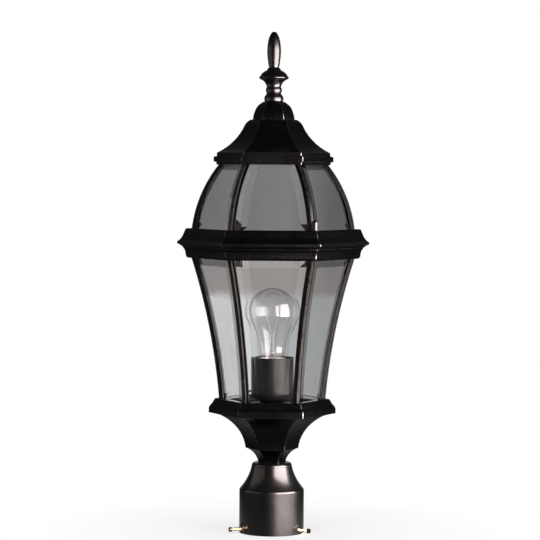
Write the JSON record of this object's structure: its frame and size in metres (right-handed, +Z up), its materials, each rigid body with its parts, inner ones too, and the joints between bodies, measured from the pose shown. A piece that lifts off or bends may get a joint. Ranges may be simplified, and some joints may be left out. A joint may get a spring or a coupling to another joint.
{
  "type": "post top lantern",
  "caption": "Hexagonal post top lantern with bent bevelled glass, a lift-off dome, a turned finial, a screw-in bulb and a sleeve that clamps on a round post.",
  "frame": {"origin": "centre of the post fitter's lower rim", "axes": "+Z up along the post; -Y is the front, a flat side of the hexagon; +X to the right, through a corner"},
  "size_m": [0.2394, 0.2074, 0.6227],
  "materials": {
    "cast_black": "matte, finely textured black powder coat on cast aluminium",
    "gloss_black": "smooth satin black enamel",
    "black_rib": "smooth semi-gloss black",
    "clear_glass": "clear, bent, with polished half-inch bevels",
    "bulb_glass": "clear blown glass",
    "nickel_cap": "bright rolled metal",
    "tungsten": "drawn wire",
    "brass_screw": "bright brass",
    "porcelain": "glazed white porcelain",
    "zinc_steel": "zinc plated",
    "tin_clip": "black painted sheet"
  },
  "bodies": {
    "cage": {"post_fitter": "gloss_black", "base_cup": "cast_black", "base_ring": "cast_black", "floor_plate": "cast_black", "stem_nipple": "zinc_steel", "nipple_nuts": "zinc_steel", "spacer": "zinc_steel", "socket_tray": "gloss_black", "socket_cup": "gloss_black", "socket_body": "porcelain", "screw_shell": "nickel_cap", "centre_contact": "brass_screw", "band_lower_ring": "cast_black", "lower_glass_clips": "tin_clip", "lower_rib_1": "black_rib", "lower_rib_2": "black_rib", "lower_rib_3": "black_rib", "lower_rib_4": "black_rib", "lower_rib_5": "black_rib", "lower_rib_6": "black_rib", "lower_glass_1": "clear_glass", "lower_glass_2": "clear_glass", "lower_glass_3": "clear_glass", "lower_glass_4": "clear_glass", "lower_glass_5": "clear_glass", "lower_glass_6": "clear_glass"},
    "dome": {"band_upper_ring": "cast_black", "top_ring": "cast_black", "top_strap": "zinc_steel", "threaded_rod": "zinc_steel", "rod_nuts": "zinc_steel", "roof": "cast_black", "crown_cap": "cast_black", "upper_glass_clips": "tin_clip", "upper_rib_1": "black_rib", "upper_rib_2": "black_rib", "upper_rib_3": "black_rib", "upper_rib_4": "black_rib", "upper_rib_5": "black_rib", "upper_rib_6": "black_rib", "upper_glass_1": "clear_glass", "upper_glass_2": "clear_glass", "upper_glass_3": "clear_glass", "upper_glass_4": "clear_glass", "upper_glass_5": "clear_glass", "upper_glass_6": "clear_glass"},
    "finial": {"finial": "gloss_black"},
    "bulb": {"bulb_base": "nickel_cap", "bulb_glass": "bulb_glass", "bulb_stem": "bulb_glass", "bulb_filament": "tungsten"},
    "set_screw_1": {"set_screw_1": "brass_screw"},
    "set_screw_2": {"set_screw_2": "brass_screw"},
    "set_screw_3": {"set_screw_3": "brass_screw"},
    "dome_screw_1": {"dome_screw_1": "gloss_black"},
    "dome_screw_2": {"dome_screw_2": "gloss_black"}
  },
  "joints": [
    {"name": "dome_lift", "type": "slide", "parent": "cage", "child": "dome", "axis": [0, 0, 1], "range_m": [0, 0.12]},
    {"name": "finial_turn", "type": "hinge", "parent": "dome", "child": "finial", "pos_m": [0, 0, 0.5363], "axis": [0, 0, 1], "continuous": true},
    {"name": "bulb_out", "type": "slide", "parent": "cage", "child": "bulb", "axis": [0, 0, 1], "range_m": [0, 0.03]},
    {"name": "set_screw_1_run", "type": "slide", "parent": "cage", "child": "set_screw_1", "axis": [0.8339, -0.5519, 0], "range_m": [-0.013, 0.003]},
    {"name": "set_screw_2_run", "type": "slide", "parent": "cage", "child": "set_screw_2", "axis": [0.061, 0.9981, 0], "range_m": [-0.013, 0.003]},
    {"name": "set_screw_3_run", "type": "slide", "parent": "cage", "child": "set_screw_3", "axis": [-0.8949, -0.4462, 0], "range_m": [-0.013, 0.003]},
    {"name": "dome_screw_1_out", "type": "slide", "parent": "dome", "child": "dome_screw_1", "axis": [0, 0, 1], "range_m": [0, 0.028]},
    {"name": "dome_screw_2_out", "type": "slide", "parent": "dome", "child": "dome_screw_2", "axis": [0, 0, 1], "range_m": [0, 0.028]}
  ]
}
